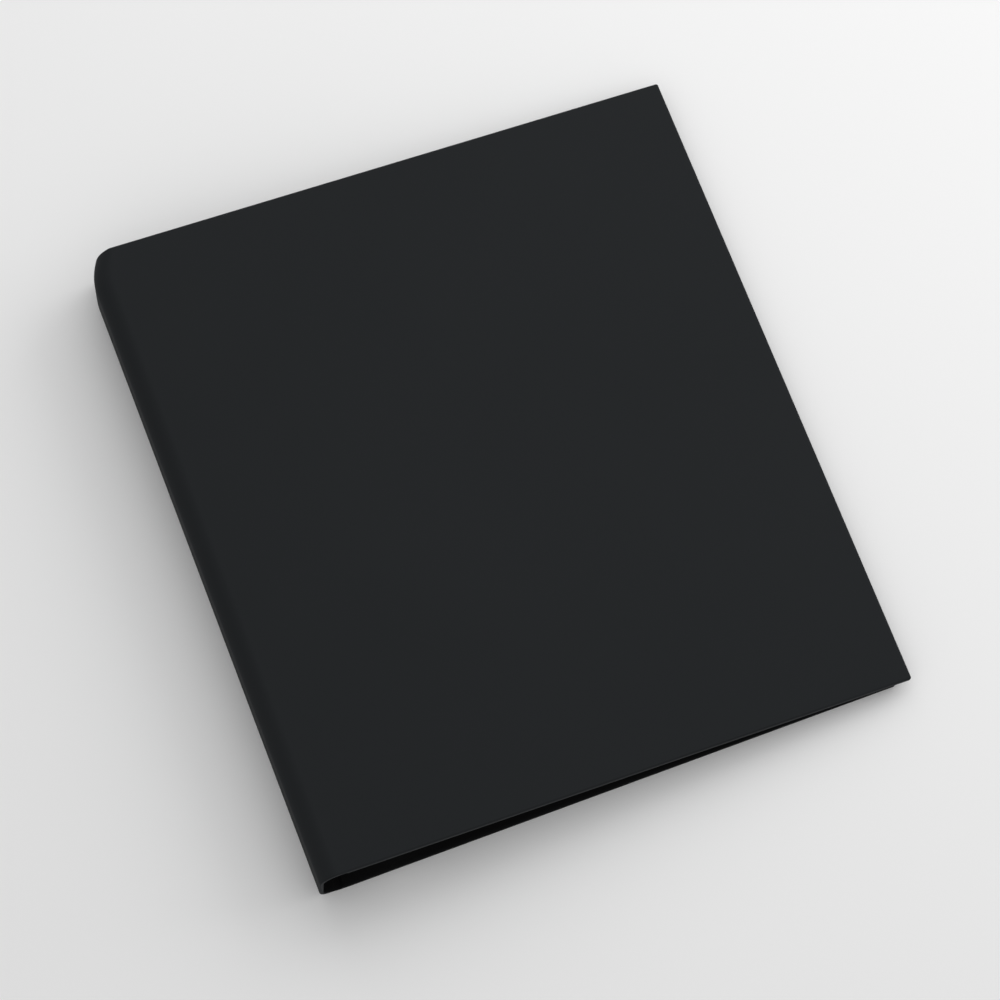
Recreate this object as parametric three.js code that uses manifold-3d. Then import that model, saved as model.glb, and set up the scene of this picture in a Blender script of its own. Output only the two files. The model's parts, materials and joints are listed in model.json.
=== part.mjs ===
// A ring binder for photographs: a case of two stiff covers and a rounded spine,
// a three-ring mechanism riveted inside the back cover, and three clear pages with black inserts.
// Millimetres, +Z up. The closed binder lies on its back cover, its spine towards -X and its head towards +Y.
// The origin is at the middle of the footprint, on the surface that the binder lies on.

import * as THREE from "three";
import { mergeVertices } from "three/addons/utils/BufferGeometryUtils.js";
import Module from "manifold-3d";

const wasm = await Module();
wasm.setup();

// Outside sizes of the closed binder, and the room inside it at the fore edge and over the rings
const CASE_LENGTH = 266.7;
const CASE_HEIGHT = 292.1;
const BACK_COVER_SETBACK = 7;
const FORE_EDGE_GAP = 1.8;
const RING_HEADROOM = 4.5;

// The rounded edges of the spine, the lower one lifted clear of the table
const UPPER_ARC_RADIUS = 6;
const LOWER_ARC_RADIUS = 5;
const SPINE_LIFT = 2;
const UPPER_ARC_STEPS = 14;
const LOWER_ARC_STEPS = 8;

// The wall of the case, from the outside in
const SKIN = 0.5;
const GLUE_GAP = 0.1;
const BOARD = 1.6;
const LINING = 0.4;
const TURN_IN = 13;
const LINING_MARGIN = 0.3;
const WALL = SKIN + GLUE_GAP + BOARD + GLUE_GAP + SKIN;
const POCKET_DEPTH = SKIN + GLUE_GAP + BOARD + GLUE_GAP;

// The two flexible joints between the spine and the covers
const JOINT_WIDTH = 7;
const JOINT_THICKNESS = 0.8;
const JOINT_CLEARANCE = 0.3;

// The ring mechanism
const RING_LINE = 34;
const RING_SPACING = 108;
const RING_RADIUS = 9.4;
const RING_SINK = 2.8;
const WIRE_RADIUS = 1.4;
const WIRE_SIDES = 10;
const RING_STEPS = 16;
const RING_TIP_GAP = 0.3;
const RING_FOOT_OFFSET = 6;
const RING_BEND_ANGLE = -38;
const SEAT_GAP = 0.1;
const HOUSING_WIDTH = 24;
const HOUSING_MARGIN = 7.05;
const HOUSING_SIDE = 2.4;
const HOUSING_CROWN = 4.5;
const HOUSING_STEEL = 0.8;
const HOUSING_LIP = 1.4;
const HOUSING_ARCH_STEPS = 12;
const SLOT_CLEARANCE = 0.4;
const SLOT_SWING = 1.8;
const SLOT_SIDE_CLEARANCE = 0.5;
const BLADE_STEEL = 0.8;
const BLADE_EDGE_CLEARANCE = 0.8;
const BLADE_PIVOT_HEIGHT = 1.75;
const BLADE_MIDDLE_GAP = 0.6;
const BLADE_REST_ANGLE = 3;
const BLADE_END_GAP = 1.2;
const FOOT_GAP = 0.2;

// Rivets that hold the mechanism, with their lower heads hidden in the back board
const RIVET_INSET = 17;
const RIVET_SHANK_RADIUS = 2;
const RIVET_HOLE_CLEARANCE = 0.3;
const RIVET_HEAD_RADIUS = 3.2;
const RIVET_HEAD_HEIGHT = 0.6;
const RIVET_FOOT_RADIUS = 4.5;
const RIVET_FOOT_HEIGHT = 0.6;
const RIVET_SINK_CLEARANCE = 0.3;
const RIVET_SIDES = 20;
const RIVET_NOTCH_CLEARANCE = 1.2;

// Opening levers at both ends of the mechanism
const LEVER_INSET = 3;
const LEVER_HEIGHT = 2.5;
const LEVER_WIDTH = 14;
const LEVER_HUB_RADIUS = 1.5;
const LEVER_TONGUE = 3.2;
const LEVER_TONGUE_STEEL = 1;
const LEVER_TAB = 14;
const LEVER_TAB_STEEL = 1.2;
const LEVER_TAB_ANGLE = 74;
const LEVER_CURL = 3;
const LEVER_CURL_ANGLE = 25;
const LEVER_PIN_GAP = 0.2;
const EAR_WIDTH = 1.7;
const EAR_LENGTH = 7.5;

// Photo pages: a clear pocket with a punched strip, and a black card inside
const PAGE_COUNT = 3;
const PAGE_FORE_MARGIN = 16.7;
const PAGE_LEVER_CLEARANCE = 3;
const PAGE_FILM = 0.1;
const PAGE_CARD = 0.25;
const PAGE_CARD_CLEARANCE = 0.06;
const PAGE_PITCH = 0.82;
const PAGE_CLEAR_OF_RIVETS = 0.35;
const PAGE_EDGE_CLEARANCE = 0.3;
const PAGE_STRIP = 18;
const PAGE_WELD = 1.5;
const PAGE_CARD_MARGIN = 0.5;
const PAGE_HOLE_RADIUS = 4;
const PAGE_HOLE_SIDES = 20;
const PAGE_BINDING_EDGE = 7;

// Finishes
const BLACK_COVER = { color: 0x262829, roughness: 0.62, metalness: 0 };
const BLACK_LINING = { color: 0x1c1d1e, roughness: 0.8, metalness: 0 };
const GREY_BOARD = { color: 0x77756f, roughness: 0.95, metalness: 0 };
const NICKEL = { color: 0xc4c4c2, roughness: 0.25, metalness: 1 };
const CLEAR_FILM = { color: 0xdfe4e6, roughness: 0.2, metalness: 0 };
const BLACK_CARD = { color: 0x141414, roughness: 0.9, metalness: 0 };

const DEG = Math.PI / 180;

// Sizes and places worked out from the values above
const mechanismBase = POCKET_DEPTH + LINING + SEAT_GAP;
const ringCentreHeight = HOUSING_CROWN + RING_RADIUS - RING_SINK;
const ringCentre = mechanismBase + ringCentreHeight;
const spineThickness = ringCentre + RING_RADIUS + WIRE_RADIUS + RING_HEADROOM + WALL;
const foreEdgeThickness = 2 * WALL + FORE_EDGE_GAP;
const housingLength = CASE_HEIGHT - 2 * HOUSING_MARGIN;
const rivetLine = housingLength / 2 - RIVET_INSET;
const rivetHoleRadius = RIVET_SHANK_RADIUS + RIVET_HOLE_CLEARANCE;
const leverLine = housingLength / 2 - LEVER_INSET;
const earStart = housingLength / 2 - EAR_LENGTH;
const pageLength = CASE_LENGTH - RING_LINE - PAGE_FORE_MARGIN;
const pageHeight = 2 * (leverLine - PAGE_LEVER_CLEARANCE);
const upperCentre = new THREE.Vector2(UPPER_ARC_RADIUS, spineThickness - UPPER_ARC_RADIUS);
const lowerCentre = new THREE.Vector2(LOWER_ARC_RADIUS, SPINE_LIFT + LOWER_ARC_RADIUS);
const foreCorner = new THREE.Vector2(CASE_LENGTH, foreEdgeThickness);
const toForeCorner = foreCorner.clone().sub(upperCentre);
const coverSlope = Math.asin(UPPER_ARC_RADIUS / toForeCorner.length())
  - Math.atan2(toForeCorner.y, toForeCorner.x);
const frontHinge = new THREE.Vector2(
  upperCentre.x + UPPER_ARC_RADIUS * Math.sin(coverSlope) + JOINT_WIDTH / 2 * Math.cos(coverSlope),
  upperCentre.y + UPPER_ARC_RADIUS * Math.cos(coverSlope) - JOINT_WIDTH / 2 * Math.sin(coverSlope),
);
const frontCoverLength = foreCorner.distanceTo(frontHinge);
const backJointSlope = Math.asin(SPINE_LIFT / JOINT_WIDTH);
const backCoverStart = LOWER_ARC_RADIUS + JOINT_WIDTH * Math.cos(backJointSlope);
const backCoverEnd = CASE_LENGTH - BACK_COVER_SETBACK;
const backHinge = new THREE.Vector2((LOWER_ARC_RADIUS + backCoverStart) / 2, SPINE_LIFT / 2);
const pageThickness = 2 * (PAGE_FILM + PAGE_CARD_CLEARANCE) + PAGE_CARD;
const lowestPage = mechanismBase + HOUSING_CROWN + SEAT_GAP + RIVET_HEAD_HEIGHT + PAGE_CLEAR_OF_RIVETS;
const pageSlope = Math.atan2(lowestPage - WALL - PAGE_EDGE_CLEARANCE, pageLength);

// A piece of outline extruded along Y, from an outline given as [x, z] points
function along(points, yLow, yHigh) {
  const shape = new THREE.Shape(points.map(([x, z]) => new THREE.Vector2(x, z)));
  const geometry = new THREE.ExtrudeGeometry(shape, { depth: yHigh - yLow, bevelEnabled: false });
  geometry.rotateX(Math.PI / 2);
  geometry.translate(0, yHigh, 0);
  return geometry;
}

// A piece of outline extruded along X, from an outline given as [y, z] points
function across(points, xLow, xHigh) {
  const shape = new THREE.Shape(points.map(([y, z]) => new THREE.Vector2(y, z)));
  const geometry = new THREE.ExtrudeGeometry(shape, { depth: xHigh - xLow, bevelEnabled: false });
  geometry.rotateX(Math.PI / 2);
  geometry.rotateZ(Math.PI / 2);
  geometry.translate(xLow, 0, 0);
  return geometry;
}

function block(xLow, xHigh, yLow, yHigh, zLow, zHigh) {
  const geometry = new THREE.BoxGeometry(xHigh - xLow, yHigh - yLow, zHigh - zLow);
  geometry.translate((xLow + xHigh) / 2, (yLow + yHigh) / 2, (zLow + zHigh) / 2);
  return geometry;
}

function post(radius, sides, x, y, zLow, zHigh) {
  const geometry = new THREE.CylinderGeometry(radius, radius, zHigh - zLow, sides);
  geometry.rotateX(Math.PI / 2);
  geometry.translate(x, y, (zLow + zHigh) / 2);
  return geometry;
}

// Boolean work on closed geometries
function solidOf(geometry) {
  const bare = new THREE.BufferGeometry();
  bare.setAttribute("position", geometry.getAttribute("position").clone());
  if (geometry.index) bare.setIndex(geometry.index.clone());
  const merged = mergeVertices(bare, 1e-5);
  return new wasm.Manifold(new wasm.Mesh({
    numProp: 3,
    vertProperties: new Float32Array(merged.getAttribute("position").array),
    triVerts: new Uint32Array(merged.index.array),
  }));
}

function geometryOf(solid) {
  const mesh = solid.getMesh();
  const geometry = new THREE.BufferGeometry();
  geometry.setAttribute("position", new THREE.BufferAttribute(new Float32Array(mesh.vertProperties), 3));
  geometry.setIndex(new THREE.BufferAttribute(new Uint32Array(mesh.triVerts), 1));
  geometry.computeVertexNormals();
  return geometry;
}

function cut(geometry, ...tools) {
  return geometryOf(tools.reduce((solid, tool) => solid.subtract(solidOf(tool)), solidOf(geometry)));
}

function join(geometry, ...others) {
  return geometryOf(others.reduce((solid, other) => solid.add(solidOf(other)), solidOf(geometry)));
}

function piece(name, geometry, finish) {
  const mesh = new THREE.Mesh(geometry, new THREE.MeshStandardMaterial(finish));
  mesh.name = name;
  return mesh;
}

// The wall of the spine between two depths under its outer face, as a closed outline.
// `past` carries both ends on, straight along the joints, for use as a cutting tool.
function spineOutline(outer, inner, past = 0) {
  const side = (depth) => {
    const points = [];
    if (past > 0) points.push([LOWER_ARC_RADIUS + past, SPINE_LIFT + depth]);
    for (let i = 0; i <= LOWER_ARC_STEPS; i += 1) {
      const angle = (-90 - 90 * i / LOWER_ARC_STEPS) * DEG;
      const radius = LOWER_ARC_RADIUS - depth;
      points.push([lowerCentre.x + radius * Math.cos(angle), lowerCentre.y + radius * Math.sin(angle)]);
    }
    const last = Math.PI / 2 - coverSlope;
    for (let i = 0; i <= UPPER_ARC_STEPS; i += 1) {
      const angle = Math.PI + (last - Math.PI) * i / UPPER_ARC_STEPS;
      const radius = UPPER_ARC_RADIUS - depth;
      points.push([upperCentre.x + radius * Math.cos(angle), upperCentre.y + radius * Math.sin(angle)]);
    }
    if (past > 0) {
      const [x, z] = points[points.length - 1];
      points.push([x + past * Math.cos(coverSlope), z - past * Math.sin(coverSlope)]);
    }
    return points;
  };
  return [...side(outer), ...side(inner).reverse()];
}

// The outer skin, turned over the edges of its board and in under the lining
function spineSkin() {
  const half = CASE_HEIGHT / 2;
  const past = 2;
  return cut(
    along(spineOutline(0, WALL), -half, half),
    along(spineOutline(SKIN, POCKET_DEPTH, past), -half + SKIN, half - SKIN),
    along(spineOutline(POCKET_DEPTH - GLUE_GAP, WALL + GLUE_GAP, past), -half + TURN_IN, half - TURN_IN),
  );
}

// A cover lies from its joint to its fore edge, its outer face at z = 0 and its inside towards +Z
function coverSkin(start, end) {
  const half = CASE_HEIGHT / 2;
  return cut(
    block(start, end, -half, half, 0, WALL),
    block(start - SKIN, end - SKIN, -half + SKIN, half - SKIN, SKIN, POCKET_DEPTH),
    block(start - SKIN, end - TURN_IN, -half + TURN_IN, half - TURN_IN, POCKET_DEPTH - GLUE_GAP, WALL + SKIN),
  );
}

function coverBoard(start, end) {
  const half = CASE_HEIGHT / 2 - SKIN - GLUE_GAP;
  return block(start, end - SKIN - GLUE_GAP, -half, half, SKIN + GLUE_GAP, SKIN + GLUE_GAP + BOARD);
}

function coverLining(start, end) {
  const half = CASE_HEIGHT / 2 - TURN_IN - LINING_MARGIN;
  return block(start, end - TURN_IN - LINING_MARGIN, -half, half, POCKET_DEPTH, POCKET_DEPTH + LINING);
}

function jointStrip() {
  const reach = JOINT_WIDTH / 2 - JOINT_CLEARANCE;
  const half = CASE_HEIGHT / 2;
  return block(-reach, reach, -half, half, 0, JOINT_THICKNESS);
}

// The sheet-steel housing: an arched channel with lips that hold the blades,
// slots for the wires, and ears at both ends that carry the levers
function housing() {
  const half = HOUSING_WIDTH / 2;
  const inside = half - HOUSING_STEEL;
  const arch = (width, rise) => {
    const points = [];
    for (let i = 0; i <= HOUSING_ARCH_STEPS; i += 1) {
      const angle = Math.PI * i / HOUSING_ARCH_STEPS;
      points.push([width * Math.cos(angle), HOUSING_SIDE + rise * Math.sin(angle)]);
    }
    return points;
  };
  const outline = [
    [half - HOUSING_STEEL - HOUSING_LIP, 0],
    [half, 0],
    ...arch(half, HOUSING_CROWN - HOUSING_SIDE),
    [-half, 0],
    [-half + HOUSING_STEEL + HOUSING_LIP, 0],
    [-half + HOUSING_STEEL + HOUSING_LIP, HOUSING_STEEL],
    [-inside, HOUSING_STEEL],
    ...arch(inside, HOUSING_CROWN - HOUSING_SIDE - HOUSING_STEEL).reverse(),
    [inside, HOUSING_STEEL],
    [half - HOUSING_STEEL - HOUSING_LIP, HOUSING_STEEL],
  ];
  const tools = [];
  const slotInside = RING_FOOT_OFFSET - WIRE_RADIUS - SLOT_CLEARANCE;
  const slotOutside = RING_FOOT_OFFSET + WIRE_RADIUS + SLOT_SWING;
  const slotHalf = WIRE_RADIUS + SLOT_SIDE_CLEARANCE;
  for (const y of [-RING_SPACING, 0, RING_SPACING]) {
    for (const side of [-1, 1]) {
      const edges = [side * slotInside, side * slotOutside].sort((a, b) => a - b);
      tools.push(block(edges[0], edges[1], y - slotHalf, y + slotHalf,
        HOUSING_SIDE, HOUSING_CROWN + HOUSING_STEEL));
    }
  }
  for (const side of [-1, 1]) {
    const roof = [side * earStart, side * housingLength].sort((a, b) => a - b);
    tools.push(block(-half + EAR_WIDTH, half - EAR_WIDTH, roof[0], roof[1],
      HOUSING_STEEL * 2, HOUSING_CROWN + HOUSING_STEEL));
    tools.push(post(rivetHoleRadius, RIVET_SIDES, 0, side * rivetLine, HOUSING_SIDE,
      HOUSING_CROWN + HOUSING_STEEL));
  }
  return cut(along(outline, -housingLength / 2, housingLength / 2), ...tools);
}

// One of the two hinged blades under the housing. `side` is -1 towards the spine and 1 towards the fore edge
function blade(side) {
  const pivot = HOUSING_WIDTH / 2 - HOUSING_STEEL - BLADE_EDGE_CLEARANCE;
  const length = pivot - BLADE_MIDDLE_GAP / 2;
  const cos = Math.cos(BLADE_REST_ANGLE * DEG);
  const sin = Math.sin(BLADE_REST_ANGLE * DEG);
  const at = (run, rise) => [side * (pivot - run * cos - rise * sin), BLADE_PIVOT_HEIGHT - run * sin + rise * cos];
  const outline = [
    at(0, -BLADE_STEEL / 2),
    at(0, BLADE_STEEL / 2),
    at(length, BLADE_STEEL / 2),
    at(length, -BLADE_STEEL / 2),
  ];
  if (side < 0) outline.reverse();
  const end = earStart - BLADE_END_GAP;
  const notches = [-1, 1].map((way) =>
    post(RIVET_SHANK_RADIUS + RIVET_NOTCH_CLEARANCE, RIVET_SIDES, 0, way * rivetLine, 0, HOUSING_CROWN));
  return cut(along(outline, -end, end), ...notches);
}

// One half of a ring: a wire that rises from its blade and bends into half a circle
function halfRing(side, y) {
  const foot = BLADE_PIVOT_HEIGHT + BLADE_STEEL / 2 + FOOT_GAP;
  const first = RING_BEND_ANGLE * DEG;
  const last = Math.PI / 2 - Math.asin(RING_TIP_GAP / 2 / RING_RADIUS);
  const arcStart = new THREE.Vector3(
    side * RING_RADIUS * Math.cos(first), 0, ringCentreHeight + RING_RADIUS * Math.sin(first));
  const bottom = new THREE.Vector3(side * RING_FOOT_OFFSET, 0, foot);
  const reach = (arcStart.z - foot) * 0.5;
  const bend = new THREE.CubicBezierCurve3(
    bottom,
    new THREE.Vector3(bottom.x, 0, bottom.z + reach),
    new THREE.Vector3(
      arcStart.x + side * reach * Math.sin(first), 0, arcStart.z - reach * Math.cos(first)),
    arcStart,
  );
  class HalfCircle extends THREE.Curve {
    getPoint(t, target = new THREE.Vector3()) {
      const angle = first + (last - first) * t;
      return target.set(
        side * RING_RADIUS * Math.cos(angle), 0, ringCentreHeight + RING_RADIUS * Math.sin(angle));
    }
  }
  const path = new THREE.CurvePath();
  path.add(bend);
  path.add(new HalfCircle());
  const section = new THREE.Shape();
  for (let i = 0; i < WIRE_SIDES; i += 1) {
    const angle = 2 * Math.PI * i / WIRE_SIDES;
    const x = WIRE_RADIUS * Math.cos(angle);
    const z = WIRE_RADIUS * Math.sin(angle);
    if (i === 0) section.moveTo(x, z);
    else section.lineTo(x, z);
  }
  section.closePath();
  const geometry = new THREE.ExtrudeGeometry(section, { steps: RING_STEPS, extrudePath: path });
  geometry.translate(0, y, 0);
  return geometry;
}

// A rivet: a wide foot sunk in the board, a shank, and a low head on the housing
function rivet() {
  const seat = SKIN + GLUE_GAP + SEAT_GAP;
  const top = mechanismBase + HOUSING_CROWN + SEAT_GAP;
  const profile = [
    [0, seat],
    [RIVET_FOOT_RADIUS, seat],
    [RIVET_FOOT_RADIUS, seat + RIVET_FOOT_HEIGHT],
    [RIVET_SHANK_RADIUS, seat + RIVET_FOOT_HEIGHT],
    [RIVET_SHANK_RADIUS, top],
    [RIVET_HEAD_RADIUS, top],
    [RIVET_HEAD_RADIUS * 0.9, top + RIVET_HEAD_HEIGHT * 0.6],
    [RIVET_HEAD_RADIUS * 0.5, top + RIVET_HEAD_HEIGHT],
    [0, top + RIVET_HEAD_HEIGHT],
  ];
  const geometry = new THREE.LatheGeometry(profile.map(([r, h]) => new THREE.Vector2(r, h)), RIVET_SIDES);
  geometry.rotateX(Math.PI / 2);
  return geometryOf(solidOf(geometry));
}

function withRivetHoles(geometry, sink) {
  const tools = [];
  for (const side of [-1, 1]) {
    const y = side * rivetLine;
    tools.push(post(rivetHoleRadius, RIVET_SIDES, RING_LINE, y, 0, mechanismBase + BOARD));
    if (sink) {
      tools.push(post(RIVET_FOOT_RADIUS + RIVET_SINK_CLEARANCE, RIVET_SIDES, RING_LINE, y, 0,
        SKIN + GLUE_GAP + SEAT_GAP + RIVET_FOOT_HEIGHT + SEAT_GAP));
    }
  }
  return cut(geometry, ...tools);
}

// An opening lever, drawn at the head end with y = 0 and z = 0 on its pin
function lever() {
  const half = LEVER_WIDTH / 2;
  const tongue = block(-half, half, -LEVER_TONGUE, 0, -LEVER_TONGUE_STEEL / 2, LEVER_TONGUE_STEEL / 2);
  const pinHalf = HOUSING_WIDTH / 2 - EAR_WIDTH - LEVER_PIN_GAP;
  const hub = post(LEVER_HUB_RADIUS, RIVET_SIDES, 0, 0, -pinHalf, pinHalf);
  hub.rotateY(Math.PI / 2);
  const direction = (angle) => new THREE.Vector2(Math.cos(angle * DEG), Math.sin(angle * DEG));
  const up = direction(LEVER_TAB_ANGLE);
  const curl = direction(LEVER_TAB_ANGLE - LEVER_CURL_ANGLE);
  const elbow = up.clone().multiplyScalar(LEVER_TAB - LEVER_CURL);
  const tip = elbow.clone().addScaledVector(curl, LEVER_CURL);
  const offset = (point, along2, amount) => [point.x + along2.y * amount, point.y - along2.x * amount];
  const root = new THREE.Vector2(0, 0);
  const thick = LEVER_TAB_STEEL / 2;
  const tab = across([
    offset(root, up, thick),
    offset(elbow, up, thick),
    offset(tip, curl, thick),
    offset(tip, curl, -thick),
    offset(elbow, up, -thick),
    offset(root, up, -thick),
  ], -half, half);
  return join(hub, tongue, tab);
}

// One page, drawn with its x = 0 and z = 0 on the rings' centre line. `index` 0 is the lowest
function pageLevel(index) {
  return lowestPage - ringCentre + index * PAGE_PITCH;
}

function pageHoleReach(index) {
  const middle = pageLevel(index) + pageThickness / 2;
  return Math.sqrt(RING_RADIUS ** 2 - middle ** 2);
}

function pagePocket(index) {
  const level = pageLevel(index);
  const reach = pageHoleReach(index);
  const start = reach - PAGE_BINDING_EDGE;
  const half = pageHeight / 2;
  const holes = [-RING_SPACING, 0, RING_SPACING].map((y) =>
    post(PAGE_HOLE_RADIUS, PAGE_HOLE_SIDES, reach, y, level - PAGE_FILM, level + pageThickness + PAGE_FILM));
  return cut(
    block(start, start + pageLength, -half, half, level, level + pageThickness),
    block(start + PAGE_STRIP, start + pageLength - PAGE_WELD, -half + PAGE_WELD, half + PAGE_WELD,
      level + PAGE_FILM, level + pageThickness - PAGE_FILM),
    ...holes,
  );
}

function pageCard(index) {
  const level = pageLevel(index) + PAGE_FILM + PAGE_CARD_CLEARANCE;
  const start = pageHoleReach(index) - PAGE_BINDING_EDGE;
  const half = pageHeight / 2 - PAGE_WELD - PAGE_CARD_MARGIN;
  return block(start + PAGE_STRIP + PAGE_CARD_MARGIN, start + pageLength - PAGE_WELD - PAGE_CARD_MARGIN,
    -half, half, level, level + PAGE_CARD);
}

const binder = new THREE.Group();
binder.position.x = -CASE_LENGTH / 2;

// Back cover, flat on the table
binder.add(
  piece("back_cover_skin", coverSkin(backCoverStart, backCoverEnd), BLACK_COVER),
  piece("back_board", withRivetHoles(coverBoard(backCoverStart, backCoverEnd), true), GREY_BOARD),
  piece("back_lining", withRivetHoles(coverLining(backCoverStart, backCoverEnd), false), BLACK_LINING),
);

// The joint between the back cover and the spine
const backJoint = new THREE.Group();
backJoint.position.set(backHinge.x, 0, backHinge.y);
backJoint.rotation.y = backJointSlope;
backJoint.add(piece("back_joint_strip", jointStrip(), BLACK_COVER));
binder.add(backJoint);

// Spine
const spineBoardHalf = CASE_HEIGHT / 2 - SKIN - GLUE_GAP;
const spineLiningHalf = CASE_HEIGHT / 2 - TURN_IN - LINING_MARGIN;
binder.add(
  piece("spine_skin", spineSkin(), BLACK_COVER),
  piece("spine_board", along(spineOutline(SKIN + GLUE_GAP, SKIN + GLUE_GAP + BOARD),
    -spineBoardHalf, spineBoardHalf), GREY_BOARD),
  piece("spine_lining", along(spineOutline(POCKET_DEPTH, POCKET_DEPTH + LINING),
    -spineLiningHalf, spineLiningHalf), BLACK_LINING),
);

// Front cover, hung from the top of the spine and sloping to the fore edge, with the joint beside it
const frontCover = new THREE.Group();
frontCover.position.set(frontHinge.x, 0, frontHinge.y);
frontCover.rotation.y = coverSlope;
const flip = (geometry) => {
  geometry.rotateX(Math.PI);
  return geometry;
};
frontCover.add(
  piece("front_cover_skin", flip(coverSkin(JOINT_WIDTH / 2, frontCoverLength)), BLACK_COVER),
  piece("front_board", flip(coverBoard(JOINT_WIDTH / 2, frontCoverLength)), GREY_BOARD),
  piece("front_lining", flip(coverLining(JOINT_WIDTH / 2, frontCoverLength)), BLACK_LINING),
  piece("front_joint_strip", flip(jointStrip()), BLACK_COVER),
);
binder.add(frontCover);

// Ring mechanism on the inside of the back cover
const mechanism = new THREE.Group();
mechanism.position.set(RING_LINE, 0, mechanismBase);
mechanism.add(piece("ring_housing", housing(), NICKEL));
for (const [side, name] of [[-1, "spine_side"], [1, "page_side"]]) {
  mechanism.add(piece(`blade_${name}`, blade(side), NICKEL));
  for (const [row, label] of [[-1, "tail"], [0, "middle"], [1, "head"]]) {
    mechanism.add(piece(`half_ring_${label}_${name}`, halfRing(side, row * RING_SPACING), NICKEL));
  }
}
for (const [end, label] of [[-1, "tail"], [1, "head"]]) {
  const mesh = piece(`lever_${label}`, lever(), NICKEL);
  mesh.position.set(0, end * leverLine, LEVER_HEIGHT);
  if (end < 0) mesh.rotation.z = Math.PI;
  mechanism.add(mesh);
}
binder.add(mechanism);

for (const [end, label] of [[-1, "tail"], [1, "head"]]) {
  const mesh = piece(`rivet_${label}`, rivet(), NICKEL);
  mesh.position.set(RING_LINE, end * rivetLine, 0);
  binder.add(mesh);
}

// Photo pages on the rings, sloping from over the housing down to the back cover
const pages = new THREE.Group();
pages.position.set(RING_LINE, 0, ringCentre);
pages.rotation.y = pageSlope;
for (let index = 0; index < PAGE_COUNT; index += 1) {
  const number = PAGE_COUNT - index;
  pages.add(
    piece(`page_${number}_pocket`, pagePocket(index), CLEAR_FILM),
    piece(`page_${number}_card`, pageCard(index), BLACK_CARD),
  );
}
binder.add(pages);

export default binder;
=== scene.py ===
import json
import math

import bmesh
import bpy
import numpy as np
from mathutils import Matrix, Vector


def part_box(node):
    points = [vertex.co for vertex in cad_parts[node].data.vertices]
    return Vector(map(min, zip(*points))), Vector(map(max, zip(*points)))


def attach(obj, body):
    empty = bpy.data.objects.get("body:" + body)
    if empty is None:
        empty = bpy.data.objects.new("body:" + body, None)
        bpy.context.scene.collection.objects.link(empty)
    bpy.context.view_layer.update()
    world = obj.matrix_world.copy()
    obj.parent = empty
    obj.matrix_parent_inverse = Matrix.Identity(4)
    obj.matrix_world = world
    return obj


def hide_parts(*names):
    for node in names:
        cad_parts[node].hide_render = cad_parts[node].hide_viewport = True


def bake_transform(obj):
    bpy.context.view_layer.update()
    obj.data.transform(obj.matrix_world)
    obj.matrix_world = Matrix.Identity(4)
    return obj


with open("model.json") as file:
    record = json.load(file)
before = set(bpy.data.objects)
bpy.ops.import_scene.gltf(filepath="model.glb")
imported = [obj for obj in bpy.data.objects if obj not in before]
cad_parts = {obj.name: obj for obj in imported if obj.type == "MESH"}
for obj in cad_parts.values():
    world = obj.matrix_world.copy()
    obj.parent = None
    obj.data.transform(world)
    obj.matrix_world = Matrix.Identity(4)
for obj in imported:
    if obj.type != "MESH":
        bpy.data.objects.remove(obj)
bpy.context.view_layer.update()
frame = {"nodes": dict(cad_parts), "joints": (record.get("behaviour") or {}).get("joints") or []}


# The camera looks down on the closed binder from beyond its tail and a little to the spine's side.
# It stands far off with a long lens, so that the sides of the covers stay almost parallel.
CAMERA_TARGET = Vector((-0.0005, -0.0093, 0.0))
CAMERA_AZIMUTH = math.radians(27.09)
CAMERA_ELEVATION = math.radians(71.756)
CAMERA_DISTANCE = 1.7593
CAMERA_ROLL = math.radians(6.4)
SENSOR = 36.0
LENS = 147.14
CLIP_NEAR = 0.05
CLIP_FAR = 20.0

scene = bpy.context.scene
scene.view_settings.view_transform = "Standard"
camera_data = bpy.data.cameras.new("camera")
camera_data.sensor_width = SENSOR
camera_data.lens = LENS
camera_data.clip_start = CLIP_NEAR
camera_data.clip_end = CLIP_FAR
camera = bpy.data.objects.new("camera", camera_data)
scene.collection.objects.link(camera)
towards_camera = Vector((
    -math.sin(CAMERA_AZIMUTH) * math.cos(CAMERA_ELEVATION),
    -math.cos(CAMERA_AZIMUTH) * math.cos(CAMERA_ELEVATION),
    math.sin(CAMERA_ELEVATION),
))
aim = (-towards_camera).to_track_quat("-Z", "Y").to_matrix().to_4x4()
camera.matrix_world = (
    Matrix.Translation(CAMERA_TARGET + towards_camera * CAMERA_DISTANCE)
    @ aim @ Matrix.Rotation(CAMERA_ROLL, 4, "Z"))
scene.camera = camera


# Two large soft lamps stand beyond the head and low beyond the fore edge, in a pale even surround,
# and a weak wide one fills the shadow on the side of the spine and the tail.
HEAD_LAMP_DIRECTION = Vector((0.35, 0.75, 0.60))
HEAD_LAMP_SIZE = 1.7
HEAD_LAMP_POWER = 5.9
FORE_LAMP_DIRECTION = Vector((0.90, 0.15, 0.30))
FORE_LAMP_SIZE = 1.5
FORE_LAMP_POWER = 9.6
LAMP_DISTANCE = 1.25
FILL_DIRECTION = Vector((-0.80, -0.45, 0.42))
FILL_DISTANCE = 1.3
FILL_SIZE = 1.2
FILL_POWER = 0.8
SURROUND = 0.60


def soft_lamp(name, direction, distance, size, power):
    data = bpy.data.lights.new(name, "AREA")
    data.shape = "DISK"
    data.size = size
    data.energy = power
    lamp = bpy.data.objects.new(name, data)
    scene.collection.objects.link(lamp)
    lamp.location = direction.normalized() * distance
    lamp.rotation_euler = direction.to_track_quat("Z", "Y").to_euler()


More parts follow.
